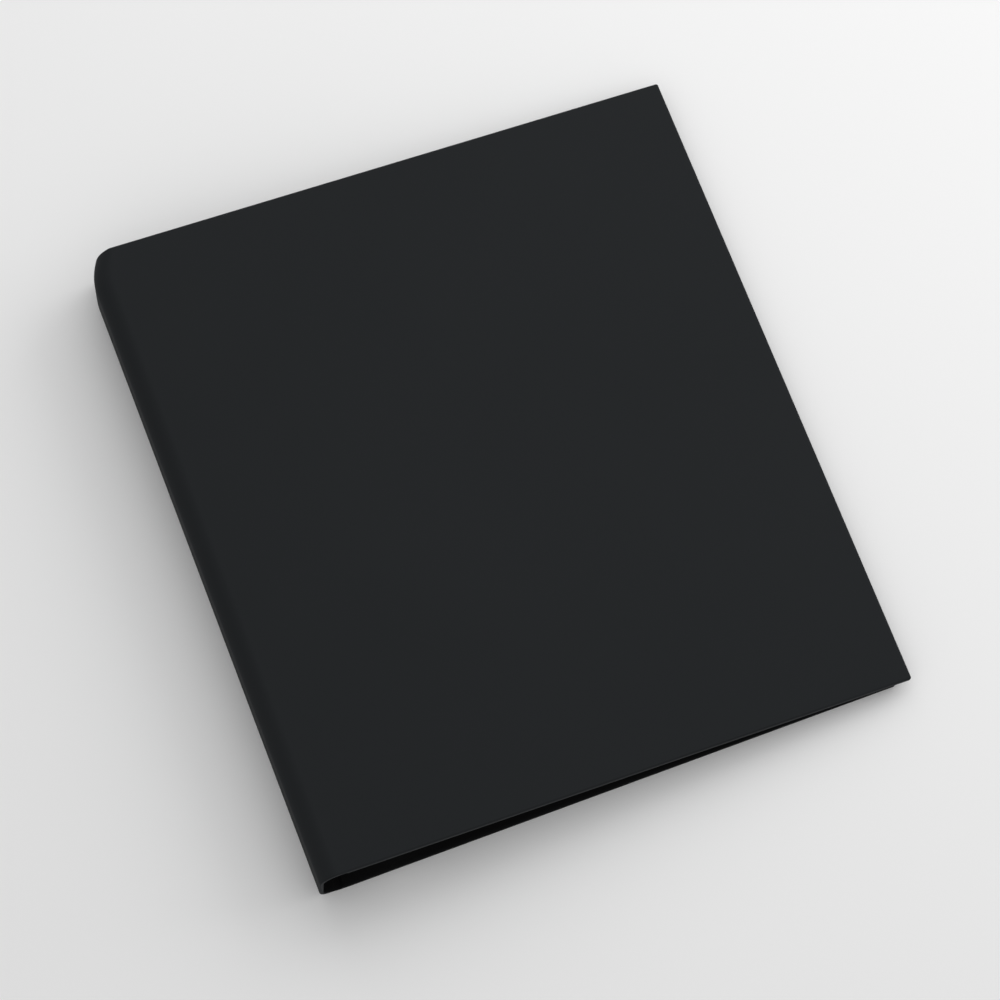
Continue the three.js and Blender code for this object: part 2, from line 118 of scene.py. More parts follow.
soft_lamp("head_lamp", HEAD_LAMP_DIRECTION, LAMP_DISTANCE, HEAD_LAMP_SIZE, HEAD_LAMP_POWER)
soft_lamp("fore_lamp", FORE_LAMP_DIRECTION, LAMP_DISTANCE, FORE_LAMP_SIZE, FORE_LAMP_POWER)
soft_lamp("fill_lamp", FILL_DIRECTION, FILL_DISTANCE, FILL_SIZE, FILL_POWER)

world = bpy.data.worlds.new("surround")
scene.world = world
world.use_nodes = True
surround = world.node_tree.nodes["Background"]
surround.inputs["Color"].default_value = (1.0, 1.0, 1.0, 1.0)
surround.inputs["Strength"].default_value = SURROUND


# The floor is a plain pale matte sheet that takes the binder's shadow.
# It lies a hair under the binder, which rests on its back cover.
MM = 0.001
FLOOR_HALF = 3.0
FLOOR_DROP = 0.05 * MM
FLOOR_COLOUR = (0.88, 0.88, 0.88, 1.0)
FLOOR_ROUGHNESS = 0.8
FLOOR_GLOSS = 0.1
PLAIN_GLOSS = 0.5


def link(name, mesh):
    made = bpy.data.objects.new(name, mesh)
    scene.collection.objects.link(made)
    return made


def new_material(name, colour, roughness, gloss=PLAIN_GLOSS):
    made = bpy.data.materials.new(name)
    made.use_nodes = True
    shader = made.node_tree.nodes["Principled BSDF"]
    shader.inputs["Base Color"].default_value = colour
    shader.inputs["Roughness"].default_value = roughness
    shader.inputs["Specular IOR Level"].default_value = gloss
    return made, shader


floor_mesh = bpy.data.meshes.new("floor")
floor_mesh.from_pydata(
    [(x * FLOOR_HALF, y * FLOOR_HALF, -FLOOR_DROP)
     for x, y in ((-1, -1), (1, -1), (1, 1), (-1, 1))],
    [], [(0, 1, 2, 3)])
floor = link("floor", floor_mesh)
floor_material, _ = new_material("pale_floor", FLOOR_COLOUR, FLOOR_ROUGHNESS, FLOOR_GLOSS)
floor_mesh.materials.append(floor_material)


# The case is built on three boards of dense grey cardboard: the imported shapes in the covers, and a
# thinner one bent round the spine, worn round and pressed in at its head end. That one is drawn
# flat and laid along the outline from the front cover's fore edge round the spine to the back's.
BOARD_DEPTHS = (0.6 * MM, 2.2 * MM)
BOARD_INSET = 0.6 * MM
BOARD_DARK = (0.16, 0.155, 0.14, 1.0)
BOARD_LIGHT = (0.22, 0.21, 0.19, 1.0)
UPPER_ARC = 6.0 * MM
WORN_ARC = 12.0 * MM
WORN_REACH = 12.0 * MM
LOWER_ARC = 5.0 * MM
HALF_JOINT = 3.5 * MM
JOINT_MITRE = 3.0 * MM

joint_place = {joint["name"]: Vector(joint["pos_m"]) for joint in frame["joints"]}
spine_low, spine_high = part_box("spine_skin")
_, front_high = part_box("front_cover_skin")
back_low, back_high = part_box("back_cover_skin")
front_hinge = joint_place["front_cover_joint"]
back_hinge = joint_place["spine_joint"]
half_height = back_high.y
upper_centre = (spine_low.x + UPPER_ARC, spine_high.z - UPPER_ARC)
lower_centre = (spine_low.x + LOWER_ARC, spine_low.z + LOWER_ARC)
front_slope = (
    math.pi / 2 - math.atan2(HALF_JOINT, UPPER_ARC)
    - math.atan2(front_hinge.z - upper_centre[1], front_hinge.x - upper_centre[0]))
front_reach = (front_high.x - front_hinge.x) / math.cos(front_slope)
joint_slope = math.asin(back_hinge.z / HALF_JOINT)

# Lengths along the outline where the upper arc, the spine's wall, the lower arc, the joint under
# the spine and the back cover start, and where the back cover ends.
upper_arc_mark, wall_mark, lower_arc_mark, under_joint_mark, back_mark, back_end_mark = np.cumsum([
    front_reach + HALF_JOINT,
    UPPER_ARC * (math.pi / 2 + front_slope),
    upper_centre[1] - lower_centre[1],
    LOWER_ARC * math.pi / 2,
    2.0 * HALF_JOINT,
    back_high.x - back_low.x,
])
front_hinge_mark = front_reach
back_hinge_mark = under_joint_mark + HALF_JOINT
spine_middle_mark = (wall_mark + lower_arc_mark) / 2


def eased(share):
    share = np.clip(share, 0, 1)
    return share * share * (3 - 2 * share)


def outline(run, wear=0.0):
    """Points (x, z) on the case's outer face and the normals into the case, at lengths along it.
    Where it is worn, the upper arc is wider and takes its length from the cover and the wall."""
    run = np.asarray(run, float)
    radius = UPPER_ARC + (WORN_ARC - UPPER_ARC) * np.broadcast_to(wear, run.shape)
    front_heading = np.array((-math.cos(front_slope), math.sin(front_slope)))
    fore_corner = np.array((front_hinge.x, front_hinge.z)) - front_heading * front_reach
    centre_x = spine_low.x + radius
    centre_z = (front_hinge.z + (front_hinge.x - centre_x) * math.tan(front_slope)
                - radius / math.cos(front_slope))
    centre = np.stack([centre_x, centre_z], 1)
    arc_start = (centre_x + radius * math.sin(front_slope) - fore_corner[0]) / front_heading[0]
    turn = math.pi / 2 + front_slope
    free = upper_arc_mark - WORN_REACH
    reach = (arc_start - free) + radius * turn + (centre_z - lower_centre[1])
    along = np.where((run > free) & (run < lower_arc_mark),
                     free + (run - free) * reach / (lower_arc_mark - free), run)
    angle = math.pi / 2 - front_slope + np.clip((along - arc_start) / radius, 0, turn)
    ray = np.stack([np.cos(angle), np.sin(angle)], 1)
    point = centre + radius[:, None] * ray
    point += np.minimum(along - arc_start, 0)[:, None] * front_heading
    point[:, 1] -= np.maximum(along - arc_start - radius * turn, 0)
    inward = -ray

    low_arc = (run > lower_arc_mark) & (run <= under_joint_mark)
    angle = math.pi + (run[low_arc] - lower_arc_mark) / LOWER_ARC
    ray = np.stack([np.cos(angle), np.sin(angle)], 1)
    point[low_arc] = np.array(lower_centre) + LOWER_ARC * ray
    inward[low_arc] = -ray
    for first, start, heading in (
            (under_joint_mark, (lower_centre[0], spine_low.z),
             (math.cos(joint_slope), -math.sin(joint_slope))),
            (back_mark, (back_low.x, back_low.z), (1.0, 0.0))):
        past = run > first
        point[past] = np.array(start) + (run[past] - first)[:, None] * np.array(heading)
    under = run > under_joint_mark
    lean = joint_slope * np.minimum(
        eased((run - under_joint_mark) / JOINT_MITRE), eased((back_mark - run) / JOINT_MITRE))
    inward[under] = np.stack([np.sin(lean), np.cos(lean)], 1)[under]
    return point, inward


# The case's thickness beside a cover's: round the spine, and in a joint with its flat middle.
SPINE_SHARE = 0.68
JOINT_SHARE = 0.5
JOINT_FLAT = 1.1 * MM
JOINT_SHOULDER = 1.5 * MM


def thinning(run):
    """1 in the covers, SPINE_SHARE round the spine's thinner board, JOINT_SHARE in the joints"""
    share = np.where((run > front_hinge_mark) & (run < back_hinge_mark), SPINE_SHARE, 1.0)
    for mark in (front_hinge_mark, back_hinge_mark):
        rise = eased((np.abs(run - mark) - JOINT_FLAT) / JOINT_SHOULDER)
        share = np.minimum(share, JOINT_SHARE + (1 - JOINT_SHARE) * rise)
    return share


# The wear of the whole spine beside that of its head end, and how the head end is pressed in.
EVEN_WEAR = 0.25
HEAD_PRESS = 5.0 * MM
HEAD_PRESS_LENGTH = 16.0 * MM
PRESS_POWER = 1.35


def head_wear(y):
    """1 at the head end, falling to 0 at HEAD_PRESS_LENGTH from it"""
    return np.clip(1 - (half_height - y) / HEAD_PRESS_LENGTH, 0, 1) ** 2


def head_press(run, y, inward):
    """How far the spine's head end is pressed in: fully on its wall, not at all at the joints"""
    facing = np.arctan2(-inward[:, 1], -inward[:, 0]) % (2 * math.pi)
    turned = np.clip((facing - math.pi / 2 + front_slope) / (math.pi / 2 + front_slope), 0, 1)
    upper = np.sin(turned * math.pi / 2) ** PRESS_POWER
    lower = eased((back_mark - run) / (back_mark - lower_arc_mark))
    return HEAD_PRESS * np.minimum(upper, lower) * head_wear(y)


# How far the two covers' ends lie apart, and how far from the tail that still shows.
FRONT_TAIL_OVERHANG = 0.5 * MM
FRONT_HEAD_OVERHANG = 0.35 * MM
BACK_TAIL_INSET = 0.2 * MM
TAIL_FIT_LENGTH = 24.0 * MM


def end_fit(run, y):
    """The front cover reaches a little past the back's tail, and past its head beside the spine"""
    under = eased((run - upper_arc_mark) / (back_mark - upper_arc_mark))
    tail = -FRONT_TAIL_OVERHANG + (FRONT_TAIL_OVERHANG + BACK_TAIL_INSET) * under
    head = FRONT_HEAD_OVERHANG * np.clip(run / upper_arc_mark, 0, 1) * (1 - under)
    return (tail * eased(1 - (y + half_height) / TAIL_FIT_LENGTH)
            + head * eased(1 - (half_height - y) / HEAD_PRESS_LENGTH))


def lay_on_case(flat):
    """Places (run, y, depth) of a flat slab laid on the case"""
    run, y = flat[:, 0], flat[:, 1]
    point, inward = outline(run, EVEN_WEAR + (1 - EVEN_WEAR) * head_wear(y))
    laid = point + inward * (flat[:, 2] * thinning(run))[:, None]
    pressed = np.where((run > lower_arc_mark)[:, None], (1.0, 0.0), inward)
    laid = laid + pressed * head_press(run, y, inward)[:, None]
    return np.stack([laid[:, 0], y + end_fit(run, y), laid[:, 1]], 1)


# Lines of points across a sheet, and the pairs beside each mark that hold the bend there.
WORN_STATIONS = 13
UPPER_STATIONS = 25
LOWER_STATIONS = 17
JOINT_STATIONS = 25
HOLD = 0.25 * MM
LEAST_STATION_GAP = 1e-5
PLACE_DIGITS = 7


def case_stations(first, last):
    """Lengths along the outline where a sheet needs a line of points for the arcs and the joints"""
    upper = [
        *np.linspace(upper_arc_mark - WORN_REACH, upper_arc_mark, WORN_STATIONS),
        *np.linspace(upper_arc_mark, wall_mark, UPPER_STATIONS),
        *np.linspace(wall_mark, wall_mark + WORN_REACH, WORN_STATIONS)]
    lower = np.linspace(lower_arc_mark, under_joint_mark, LOWER_STATIONS)
    holds = [
        mark + way * HOLD
        for mark in (upper_arc_mark, wall_mark, lower_arc_mark, under_joint_mark, back_mark)
        for way in (-1, 1)]
    bends = [
        mark + step for mark in (front_hinge_mark, back_hinge_mark)
        for step in np.linspace(-HALF_JOINT, HALF_JOINT, JOINT_STATIONS)]
    every = np.unique(np.round([*upper, *lower, *holds, *bends], PLACE_DIGITS))
    return [run for run in every if first + LEAST_STATION_GAP < run < last - LEAST_STATION_GAP]


# Lines of points along a sheet, by their distance from its head and from its tail.
HEAD_PRESS_CUTS = [cut * MM for cut in (1.6, 2.6, 3.8, 5.2, 6.8, 8.6, 10.6, 12.7, 14.6, 16.0)]
TAIL_FIT_CUTS = TAIL_FIT_LENGTH * np.linspace(0.15, 1.0, 6)
CUT_TOLERANCE = 1e-8
SHARP_ANGLE = 38.0


def closed_mesh(name, work):
    """Turns a closed bmesh into a mesh whose faces point outwards"""
    bmesh.ops.recalc_face_normals(work, faces=work.faces[:])
    mesh = bpy.data.meshes.new(name)
    work.to_mesh(mesh)
    work.free()
    return mesh


def finish_mesh(mesh, angle=SHARP_ANGLE):
    mesh.polygons.foreach_set("use_smooth", [True] * len(mesh.polygons))
    mesh.set_sharp_from_angle(angle=math.radians(angle))
    return mesh


def keep_places(mesh, flat):
    """Keeps the places on the flat sheet, which its material reads"""
    places = mesh.attributes.new("sheet_place", "FLOAT_VECTOR", "POINT")
    places.data.foreach_set("vector", flat.ravel())


def cut_flat(work, place, normal, **cleared):
    bmesh.ops.bisect_plane(
        work, geom=work.verts[:] + work.edges[:] + work.faces[:], dist=CUT_TOLERANCE,
        plane_co=place, plane_no=normal, **cleared)


def laid_sheet(name, work, stations, cut_low, cut_high):
    """Cuts a flat bmesh at the stations and at its joined end, closes it and lays it on the case"""
    for station in stations:
        cut_flat(work, (station, 0, 0), (1, 0, 0))
    for cut in HEAD_PRESS_CUTS:
        cut_flat(work, (0, half_height - cut, 0), (0, 1, 0))
    for cut in TAIL_FIT_CUTS:
        cut_flat(work, (0, cut - half_height, 0), (0, 1, 0))
    if cut_low is not None:
        cut_flat(work, (cut_low, 0, 0), (1, 0, 0), clear_inner=True)
    if cut_high is not None:
        cut_flat(work, (cut_high, 0, 0), (1, 0, 0), clear_outer=True)
    bmesh.ops.holes_fill(work, edges=[edge for edge in work.edges if edge.is_boundary])
    work.normal_update()
    flat = np.array([vertex.co for vertex in work.verts])
    for vertex, place in zip(work.verts, lay_on_case(flat)):
        vertex.co = place
    mesh = closed_mesh(name, work)
    keep_places(mesh, flat)
    return link(name, finish_mesh(mesh))


# The grain is a mix of cells and a finer noise, and the tone drifts in wide patches.
GRAIN_SCALE = 2500.0
GRAIN_DETAIL = 3.0
GRAIN_DEPTH = 0.05 * MM
CELL_SHARE = 0.5
FINE_TO_CELLS = 1.7
DRIFT_SCALE = 9.0
DRIFT_DETAIL = 4.0


def set_inputs(node, values):
    for socket, value in values.items():
        node.inputs[socket].default_value = value


def add_node(tree, kind, values=None):
    """A new node with the values of some of its inputs"""
    node = tree.nodes.new(kind)
    set_inputs(node, values or {})
    return node


def colour_mix(tree, *colours):
    """A node that mixes two colours, given here or joined to it"""
    mix = add_node(tree, "ShaderNodeMix")
    mix.data_type = "RGBA"
    set_inputs(mix, dict(zip("AB", colours)))
    return mix


def join(tree, *joints):
    """Links nodes: each joint is (node, output, other node, its input)"""
    for source, output, target, socket in joints:
        tree.links.new(source.outputs[output], target.inputs[socket])


def grain_group():
    """The grain of a pressed or coated sheet: a fine height for the bump, and a drift of tone"""
    group = bpy.data.node_groups.new("sheet_grain", "ShaderNodeTree")
    new_socket = group.interface.new_socket
    new_socket(name="Place", in_out="INPUT", socket_type="NodeSocketVector")
    for name, value in (
            ("Grain Scale", GRAIN_SCALE), ("Cell Share", CELL_SHARE), ("Drift Scale", DRIFT_SCALE)):
        socket = new_socket(name=name, in_out="INPUT", socket_type="NodeSocketFloat")
        socket.default_value = value
    for name in ("Height", "Drift"):
        new_socket(name=name, in_out="OUTPUT", socket_type="NodeSocketFloat")
    inside, outside = add_node(group, "NodeGroupInput"), add_node(group, "NodeGroupOutput")
    cells = add_node(group, "ShaderNodeTexVoronoi")
    fine = add_node(group, "ShaderNodeTexNoise", {"Detail": GRAIN_DETAIL})
    drift = add_node(group, "ShaderNodeTexNoise", {"Detail": DRIFT_DETAIL})
    finer = add_node(group, "ShaderNodeMath", {1: FINE_TO_CELLS})
    finer.operation = "MULTIPLY"
    mix = add_node(group, "ShaderNodeMix")
    join(group,
         (inside, "Place", cells, "Vector"), (inside, "Place", fine, "Vector"),
         (inside, "Place", drift, "Vector"), (inside, "Grain Scale", cells, "Scale"),
         (inside, "Grain Scale", finer, 0), (finer, "Value", fine, "Scale"),
         (inside, "Drift Scale", drift, "Scale"), (inside, "Cell Share", mix, "Factor"),
         (fine, "Fac", mix, "A"), (cells, "Distance", mix, "B"),
         (mix, "Result", outside, "Height"), (drift, "Fac", outside, "Drift"))
    return group


sheet_grain = grain_group()


def add_grain(tree, values):
    grain = add_node(tree, "ShaderNodeGroup")
    grain.node_tree = sheet_grain
    set_inputs(grain, values)
    return grain


def drifting_tone(made, grain, shader, dark, light):
    """The colour drifts between two near tones"""
    tone = colour_mix(made.node_tree, dark, light)
    join(made.node_tree,
         (grain, "Drift", tone, "Factor"), (tone, "Result", shader, "Base Color"))


def sheet_material(name, dark, light, roughness, grain_scale, cell_share, bump,
                   gloss=PLAIN_GLOSS, attribute=None):
    """A grained sheet, whose grain follows the attribute or else the object's own space"""
    made, shader = new_material(name, dark, roughness, gloss)
    tree = made.node_tree
    grain = add_grain(tree, {"Grain Scale": grain_scale, "Cell Share": cell_share})
    if attribute:
        place, output = add_node(tree, "ShaderNodeAttribute"), "Vector"
        place.attribute_name = attribute
    else:
        place, output = add_node(tree, "ShaderNodeTexCoord"), "Object"
    drifting_tone(made, grain, shader, dark, light)
    relief = add_node(tree, "ShaderNodeBump", {"Strength": bump, "Distance": GRAIN_DEPTH})
    join(tree, (place, output, grain, "Place"), (grain, "Height", relief, "Height"),
         (relief, "Normal", shader, "Normal"))
    return made


def dress_nodes(material, *names):
    """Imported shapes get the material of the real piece, also where a finer piece stands for them"""
    for name in names:
        materials = frame["nodes"][name].data.materials
        materials.clear()
        materials.append(material)


board_material = sheet_material(
    "grey_board", BOARD_DARK, BOARD_LIGHT, roughness=0.95, grain_scale=1400.0,
    cell_share=0.1, bump=0.4)
dress_nodes(board_material, "back_board", "spine_board", "front_board")

board_work = bmesh.new()
board_half = half_height - BOARD_INSET
bmesh.ops.create_cube(board_work, size=1.0)
for vertex in board_work.verts:
    side_x, side_y, side_z = (value > 0 for value in vertex.co)
    vertex.co = (under_joint_mark if side_x else upper_arc_mark,
                 board_half if side_y else -board_half, BOARD_DEPTHS[side_z])
bent_board = laid_sheet("bent_spine_board", board_work,
                        case_stations(upper_arc_mark, under_joint_mark), None, None)
bent_board.data.materials.append(board_material)
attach(bent_board, "spine")
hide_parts("spine_board")


# The cover cloth is a smooth matte black coated sheet, glued over the boards and turned in at every
# edge. It is cut from flat sheet, drawn here as an open box of the cover's thickness with rounded
# edges, and laid along the case's outline. Two lengths of it meet in the middle of the spine.
CLOTH = 0.3 * MM
COVER_THICKNESS = 2.55 * MM
OUTER_EDGE_RADIUS = 0.9 * MM
INNER_EDGE_RADIUS = 0.55 * MM
CORNER_RADIUS = 1.0 * MM
LEAST_CORNER = 0.05 * MM
TURN_IN = 13.0 * MM
FRONT_FORE_OVERHANG = 0.5 * MM
BACK_FORE_OVERHANG = 1.0 * MM
SPARE = 30.0 * MM
JOINT_LEAN = math.radians(30.0)
EDGE_STEPS = 5
CORNER_STEPS = 6
# Depths on the flat sheet past which the cloth's edges take the painted highlight or painted shade.
PAINTED_EDGE_DEPTHS = (0.2 * MM, 0.9 * MM)
# Depths of the turned-in margin, which takes painted shade.
PAINTED_SHADE_MARGIN_DEPTHS = (COVER_THICKNESS - 0.3 * MM, COVER_THICKNESS)
CLOTH_DARK = (0.0133, 0.0149, 0.0162, 1.0)
CLOTH_LIGHT = (0.0156, 0.0172, 0.0187, 1.0)
# Painted highlight on the edges of the front cover and the upper spine.
PAINTED_EDGE_HIGHLIGHT = (0.030, 0.0320, 0.0340, 1.0)
# Painted shade on the turned-in margins and on the edges from the spine's lower arc round the back
# cover.
PAINTED_EDGE_SHADE = (0.005, 0.0053, 0.0056, 1.0)


def rounded_loop(x_low, x_high, y_half, radius, steps):
    """The corners of a rectangle rounded, anticlockwise from the one at x_high and y_half"""
    corners = (
        (x_high - radius, y_half - radius, 0.0), (x_low + radius, y_half - radius, 90.0),
        (x_low + radius, -y_half + radius, 180.0), (x_high - radius, -y_half + radius, 270.0))
    return [
        (x + radius * math.cos(math.radians(start + 90.0 * i / steps)),
         y + radius * math.sin(math.radians(start + 90.0 * i / steps)))
        for x, y, start in corners for i in range(steps + 1)]


def cloth_section():
    """(inset, depth) from the face round the edge to the end of the turn-in, and back inside"""
    quarter = [math.pi / 2 * i / EDGE_STEPS for i in range(EDGE_STEPS + 1)]
    inside = COVER_THICKNESS - CLOTH
    return [
        (OUTER_EDGE_RADIUS + HOLD, 0.0),
        *((OUTER_EDGE_RADIUS * (1 - math.sin(angle)), OUTER_EDGE_RADIUS * (1 - math.cos(angle)))
          for angle in quarter),
        *((INNER_EDGE_RADIUS * (1 - math.cos(angle)),
           COVER_THICKNESS - INNER_EDGE_RADIUS * (1 - math.sin(angle))) for angle in quarter),
        (INNER_EDGE_RADIUS + HOLD, COVER_THICKNESS), (TURN_IN, COVER_THICKNESS),
        (TURN_IN, inside), (INNER_EDGE_RADIUS, inside),
        (CLOTH, COVER_THICKNESS - INNER_EDGE_RADIUS), (CLOTH, OUTER_EDGE_RADIUS),
        (OUTER_EDGE_RADIUS, CLOTH)]


def cloth(name, run_low, run_high, cut_low, cut_high):
    """One length of cloth, cut off at cut_low or cut_high where it joins the other"""
    work = bmesh.new()
    loops = []
    for inset, depth in cloth_section():
        ring = rounded_loop(run_low + inset, run_high - inset, half_height - inset,
                            max(CORNER_RADIUS - inset, LEAST_CORNER), CORNER_STEPS)
        loops.append([work.verts.new((x, y, depth)) for x, y in ring])
    work.faces.new(loops[0])
    for one, two in zip(loops, loops[1:]):
        for i in range(len(one)):
            j = (i + 1) % len(one)
            work.faces.new((one[i], two[i], two[j], one[j]))
    work.faces.new(loops[-1][::-1])
    stations = case_stations(cut_low or run_low, cut_high or run_high)
    return laid_sheet(name, work, stations, cut_low, cut_high)


def paint_edge_highlight_and_shade(made, light, dark):
    """Paints a highlight into the cloth's colour on the rounded edges of the front cover and the
    upper spine, and paints shade into it on the turned-in margins and on the edges from the spine's
    lower arc round the back cover"""
    tree = made.node_tree
    shader = tree.nodes["Principled BSDF"]
    plain_tone = shader.inputs["Base Color"].links[0].from_node
    place = add_node(tree, "ShaderNodeAttribute")
    place.attribute_name = "sheet_place"
    axes = add_node(tree, "ShaderNodeSeparateXYZ")
    ranges = []
    for axis, (low, high) in (
            ("Z", PAINTED_EDGE_DEPTHS), ("Z", PAINTED_SHADE_MARGIN_DEPTHS), ("X", (lower_arc_mark, under_joint_mark))):
        found = add_node(tree, "ShaderNodeMapRange", {"From Min": low, "From Max": high})
        found.interpolation_type = "SMOOTHSTEP"
        join(tree, (axes, axis, found, "Value"))
        ranges.append(found)
    # edge finds the rounded edges, which take the painted highlight or the painted shade.
    edge, inside, under = ranges
    # inside and under mark the margins and the cloth from the spine's lower arc on, where the painted
    # shade goes.
    painted_shade_share = add_node(tree, "ShaderNodeMath")
    painted_shade_share.operation = "MAXIMUM"
    rim, painted_edge_tone = colour_mix(tree, light, dark), colour_mix(tree)
    join(tree, (place, "Vector", axes, "Vector"),
         (inside, "Result", painted_shade_share, 0), (under, "Result", painted_shade_share, 1),
         (painted_shade_share, "Value", rim, "Factor"), (edge, "Result", painted_edge_tone, "Factor"),
         (plain_tone, "Result", painted_edge_tone, "A"), (rim, "Result", painted_edge_tone, "B"),
         (painted_edge_tone, "Result", shader, "Base Color"))


cloth_material = sheet_material(
    "black_cloth", CLOTH_DARK, CLOTH_LIGHT, roughness=0.78, grain_scale=2200.0,
    cell_share=0.45, bump=0.35, gloss=0.09, attribute="sheet_place")
# A highlight is painted onto the front cover's and upper spine's edges, and shade onto the margins
# and lower edges.
paint_edge_highlight_and_shade(cloth_material, PAINTED_EDGE_HIGHLIGHT, PAINTED_EDGE_SHADE)

front_wrap = cloth("front_wrap", -FRONT_FORE_OVERHANG, spine_middle_mark + SPARE,
                   None, spine_middle_mark)
back_wrap = cloth("back_wrap", spine_middle_mark - SPARE, back_end_mark + BACK_FORE_OVERHANG,
                  spine_middle_mark, None)
for wrap in (front_wrap, back_wrap):
    wrap.data.materials.append(cloth_material)

# Two lines on the case are found for each joint. The front one's way leans, so that the pressed
# head end of the spine stays out of it.
front_bend, _ = outline(
    [front_hinge_mark + HALF_JOINT, front_hinge_mark - JOINT_FLAT - JOINT_SHOULDER], EVEN_WEAR)
back_bend, _ = outline([back_hinge_mark + HALF_JOINT, back_hinge_mark - HALF_JOINT])
bend_way = np.array((math.cos(JOINT_LEAN), math.sin(JOINT_LEAN)))
front_bend[1] = front_bend[0] + bend_way * np.dot(front_bend[1] - front_bend[0], bend_way)
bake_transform(front_wrap)
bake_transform(back_wrap)
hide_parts("front_cover_skin", "front_joint_strip", "spine_skin")
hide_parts("back_cover_skin", "back_joint_strip")
dress_nodes(cloth_material, "front_cover_skin", "front_joint_strip", "spine_skin",
            "back_cover_skin", "back_joint_strip")


# The lining is black paper pasted over the boards and over the edges of the turned-in cloth,
# which show through it as a low step. It runs across the joints as the cloth does.
LINING = 0.22 * MM
LINING_INSET = 1.2 * MM
LINING_GAP = 0.02 * MM
STEP_WIDTH = 1.2 * MM
STEP_LINES = 5
STEP_HOLD = 0.1 * MM
LINING_TAIL_LINES = (17.0 * MM, 19.0 * MM, TAIL_FIT_LENGTH)
LINING_SHARP_ANGLE = 50.0
PLACE_SLACK = 1e-7
BOARD_FACE = 2.22 * MM
LINING_DARK = (0.0055, 0.0055, 0.0057, 1.0)
LINING_LIGHT = (0.0080, 0.0080, 0.0083, 1.0)


def lining_depth(run, y):
    """How deep the hidden face lies: on the board, or on the turned-in cloth near the edges"""
    from_edge = np.minimum(np.minimum(run, back_end_mark - run), half_height - np.abs(y))
    rise = eased((TURN_IN + STEP_WIDTH - from_edge) / STEP_WIDTH)
    return BOARD_FACE + LINING_GAP + (COVER_THICKNESS - BOARD_FACE) * rise


def lining_sheet(name, run_low, run_high):
    """A closed sheet of paper on a grid of places, laid on the case"""
    steps = [LINING_INSET, TURN_IN - STEP_HOLD,
             *(TURN_IN + STEP_WIDTH * np.linspace(0, 1, STEP_LINES)),
             TURN_IN + STEP_WIDTH + STEP_HOLD]
    across = sorted(
        {side * (half_height - step) for step in steps for side in (-1, 1)}
        | {half_height - cut for cut in HEAD_PRESS_CUTS if cut > LINING_INSET}
        | {cut - half_height for cut in LINING_TAIL_LINES})
    wanted = [run_low, run_high, *case_stations(run_low, run_high), *steps,
              *(back_end_mark - step for step in steps)]
    runs = sorted({
        round(float(run), PLACE_DIGITS) for run in wanted
        if run_low <= run + PLACE_SLACK and run <= run_high + PLACE_SLACK})
    run_grid, y_grid = np.meshgrid(runs, across, indexing="ij")
    hidden = lining_depth(run_grid, y_grid)
    flat = np.concatenate([
        np.stack([run_grid, y_grid, hidden + depth], 2).reshape(-1, 3)
        for depth in (0.0, LINING)])
    rows, columns = run_grid.shape
    work = bmesh.new()
    spots = [work.verts.new(tuple(place)) for place in lay_on_case(flat)]

    def spot(side, i, j):
        return spots[(side * rows + i) * columns + j]

    for i in range(rows - 1):
        for j in range(columns - 1):
            cell = ((i, j), (i + 1, j), (i + 1, j + 1), (i, j + 1))
            work.faces.new([spot(0, *corner) for corner in cell][::-1])
            work.faces.new([spot(1, *corner) for corner in cell])
    rim = ([(i, 0) for i in range(rows)] + [(rows - 1, j) for j in range(1, columns)]
           + [(i, columns - 1) for i in range(rows - 2, -1, -1)]
           + [(0, j) for j in range(columns - 2, 0, -1)])
    for one, two in zip(rim, rim[1:] + rim[:1]):
        work.faces.new([spot(0, *one), spot(0, *two), spot(1, *two), spot(1, *one)])
    mesh = closed_mesh(name, work)
    keep_places(mesh, flat)
    return link(name, finish_mesh(mesh, LINING_SHARP_ANGLE))


lining_material = sheet_material(
    "black_lining", LINING_DARK, LINING_LIGHT, roughness=0.85, grain_scale=1800.0,
    cell_share=0.15, bump=0.3, gloss=0.04, attribute="sheet_place")
front_lining_sheet = lining_sheet("front_lining_sheet", LINING_INSET, spine_middle_mark)
back_lining_sheet = lining_sheet(
    "back_lining_sheet", spine_middle_mark, back_end_mark - LINING_INSET)
for sheet in (front_lining_sheet, back_lining_sheet):
    sheet.data.materials.append(lining_material)
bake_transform(front_lining_sheet)
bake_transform(back_lining_sheet)
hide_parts("front_lining", "spine_lining")
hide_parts("back_lining")
dress_nodes(lining_material, "front_lining", "spine_lining", "back_lining")


# The housing is one length of nickel-plated sheet steel, pressed into a low arch with its edges
# turned under. It has a slot for each wire, a hole for each rivet and an open end for each lever.
HOUSING_SIDE = 2.4 * MM
HOUSING_CROWN = 4.5 * MM
HOUSING_STEEL = 0.8 * MM
HOUSING_LIP = 1.4 * MM
HOUSING_BEVEL = 0.18 * MM
SLOT_INSIDE = 4.2 * MM
SLOT_OUTSIDE = 9.2 * MM
SLOT_HALF = 1.9 * MM
SLOT_CORNER = 1.2 * MM
SLOT_CORNER_STEPS = 4
EAR_WIDTH = 1.7 * MM
EAR_LENGTH = 7.5 * MM
RIVET_LINE = 122.0 * MM
RIVET_HOLE = 2.3 * MM
RIVET_HOLE_SIDES = 24
RING_SPACING = 108.0 * MM
ARCH_STEPS = 28
METAL_GRAIN = 900.0
METAL_DRIFT = 60.0
NICKEL_DARK = (0.60, 0.59, 0.57, 1.0)
NICKEL_LIGHT = (0.70, 0.69, 0.67, 1.0)

housing_low, housing_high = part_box("ring_housing")
ring_line = (housing_low.x + housing_high.x) / 2
housing_half = (housing_high.x - housing_low.x) / 2
housing_end = housing_high.y
housing_base = housing_low.z


